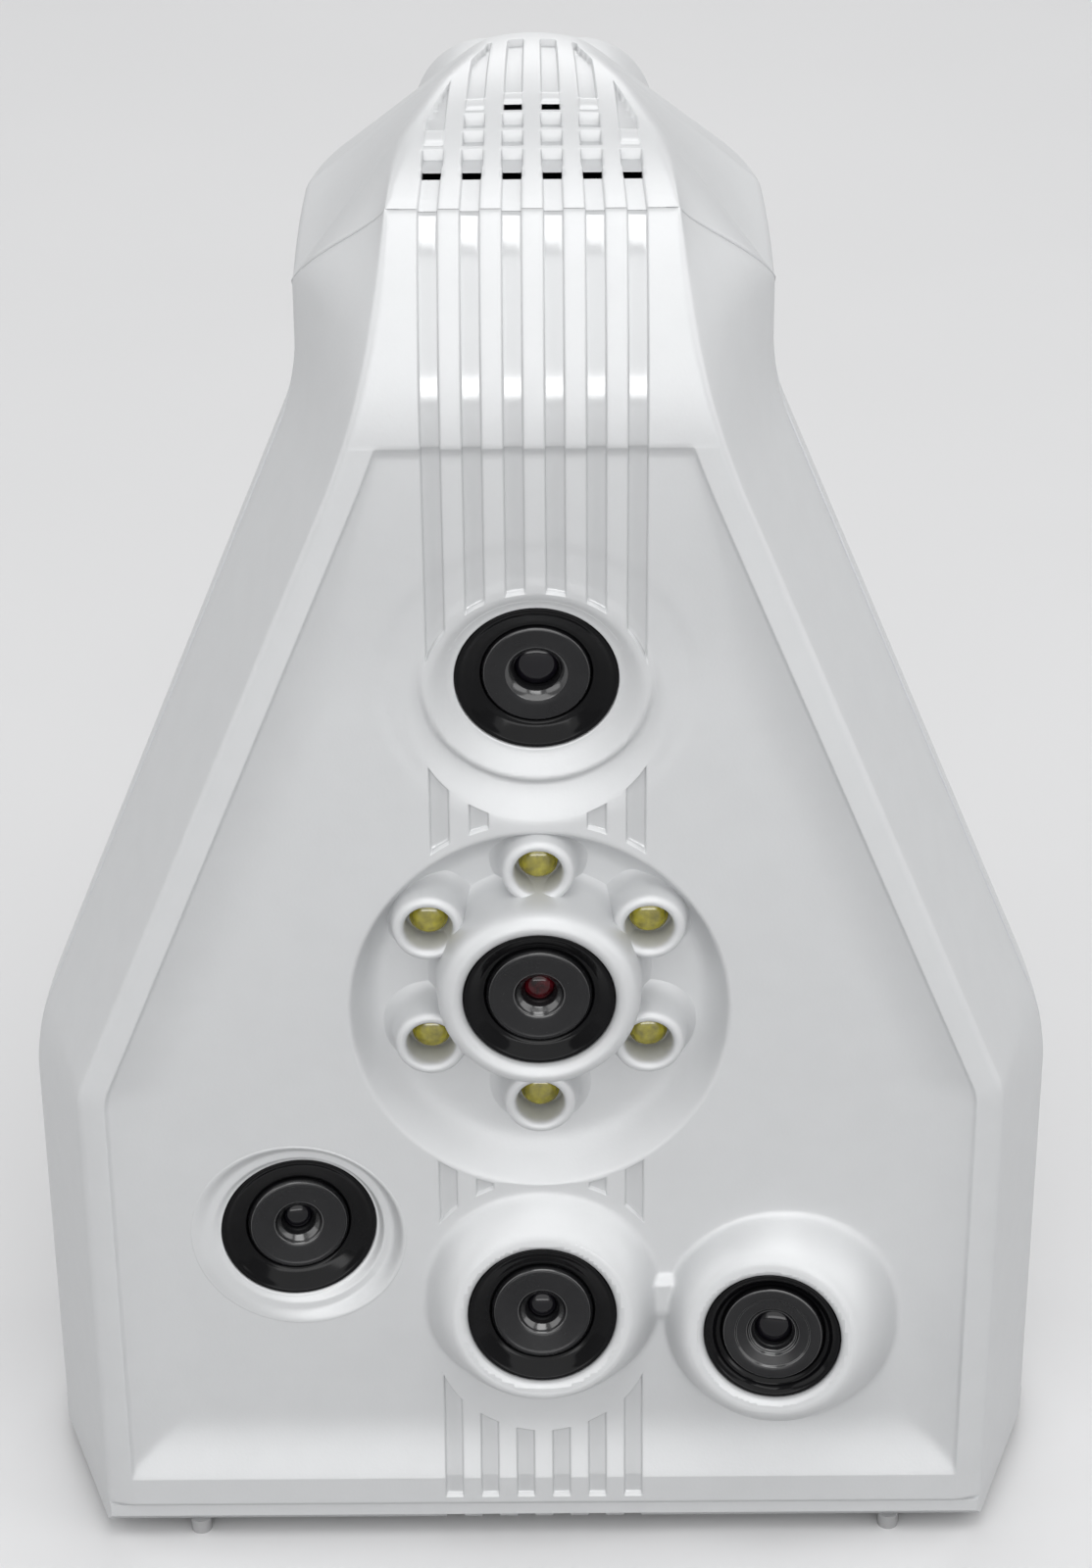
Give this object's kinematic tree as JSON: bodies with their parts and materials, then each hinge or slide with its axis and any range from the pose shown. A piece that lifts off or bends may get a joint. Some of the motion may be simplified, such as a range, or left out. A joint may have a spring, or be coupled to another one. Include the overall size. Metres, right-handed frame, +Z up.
{
  "type": "hand-held 3-d scanner",
  "caption": "Hand-held structured-light scanner with a tapered head, projector and cameras in a recessed front panel, a vented grooved hood and a loop handle with a rocker.",
  "frame": {"origin": "on the standing surface, under the middle of the footprint", "axes": "+Z up, the lenses look along -Y, +X to the right as seen from the front"},
  "size_m": [0.13, 0.1402, 0.1915],
  "materials": {
    "casing": "satin moulded plastic",
    "foot": "matte rubber",
    "gasket": "matte strip",
    "bezel": "gloss black",
    "barrel": "satin black",
    "glass": "coated glass",
    "circuit": "laminate",
    "alloy": "satin",
    "led": "clear epoxy over a yellow phosphor",
    "steel": "satin",
    "black_plastic": "matte",
    "rocker": "satin dark grey",
    "slider": "matte",
    "light": "translucent light pipe"
  },
  "bodies": {
    "casing": {"front_shell": "casing", "rear_shell": "casing", "top_hood": "casing", "handle_rear_shell": "casing", "handle_front_cover": "casing", "tail_shell": "casing", "base_plate": "casing", "feet": "foot", "seam_gasket_left": "gasket", "seam_gasket_right": "gasket", "projector_bezel": "bezel", "projector_lens_barrel": "barrel", "projector_lens_glass": "glass", "projector_holder": "barrel", "projector_board": "circuit", "texture_camera_bezel": "bezel", "texture_camera_lens_barrel": "barrel", "texture_camera_lens_glass": "glass", "texture_camera_holder": "barrel", "texture_camera_board": "circuit", "middle_camera_bezel": "bezel", "middle_camera_lens_barrel": "barrel", "middle_camera_lens_glass": "glass", "middle_camera_holder": "barrel", "middle_camera_board": "circuit", "right_camera_bezel": "bezel", "right_camera_lens_barrel": "barrel", "right_camera_lens_glass": "glass", "right_camera_holder": "barrel", "right_camera_board": "circuit", "left_camera_bezel": "bezel", "left_camera_lens_barrel": "barrel", "left_camera_lens_glass": "glass", "left_camera_holder": "barrel", "left_camera_board": "circuit", "pattern_slide": "glass", "condenser_lens": "glass", "lamp_housing": "alloy", "lamp_heat_sink": "alloy", "flash_leds": "led", "flash_board": "circuit", "chassis_plate": "alloy", "chassis_screws": "steel", "main_board": "circuit", "processor_heat_sink": "alloy", "fan_frame": "black_plastic", "rocker_pin": "steel", "rocker_bracket": "black_plastic", "switch_body": "black_plastic", "status_lights": "light", "connector_board": "circuit", "power_socket": "black_plastic", "usb_socket": "steel", "casing_screws": "steel", "handle_screws": "steel", "base_screws": "steel"},
    "rocker": {"scan_rocker": "rocker"},
    "slider": {"switch_slider": "slider"},
    "fan": {"fan_rotor": "black_plastic"}
  },
  "joints": [
    {"name": "rocker_tilt", "type": "hinge", "parent": "casing", "child": "rocker", "pos_m": [0, 0.03177, 0.15977], "axis": [1, 0, 0], "range_deg": [-6, 6], "stiffness_Nm_per_rad": 0.15},
    {"name": "switch_slide", "type": "slide", "parent": "casing", "child": "slider", "axis": [0, 0.7071, -0.7071], "range_m": [-0.0005, 0.0005]},
    {"name": "fan_spin", "type": "hinge", "parent": "casing", "child": "fan", "pos_m": [0, -0.02825, 0.172], "axis": [0, 0, 1], "continuous": true}
  ],
  "couplings": [
    {"joint": "switch_slide", "follows": "rocker_tilt", "m_per_rad": 0.0038}
  ]
}
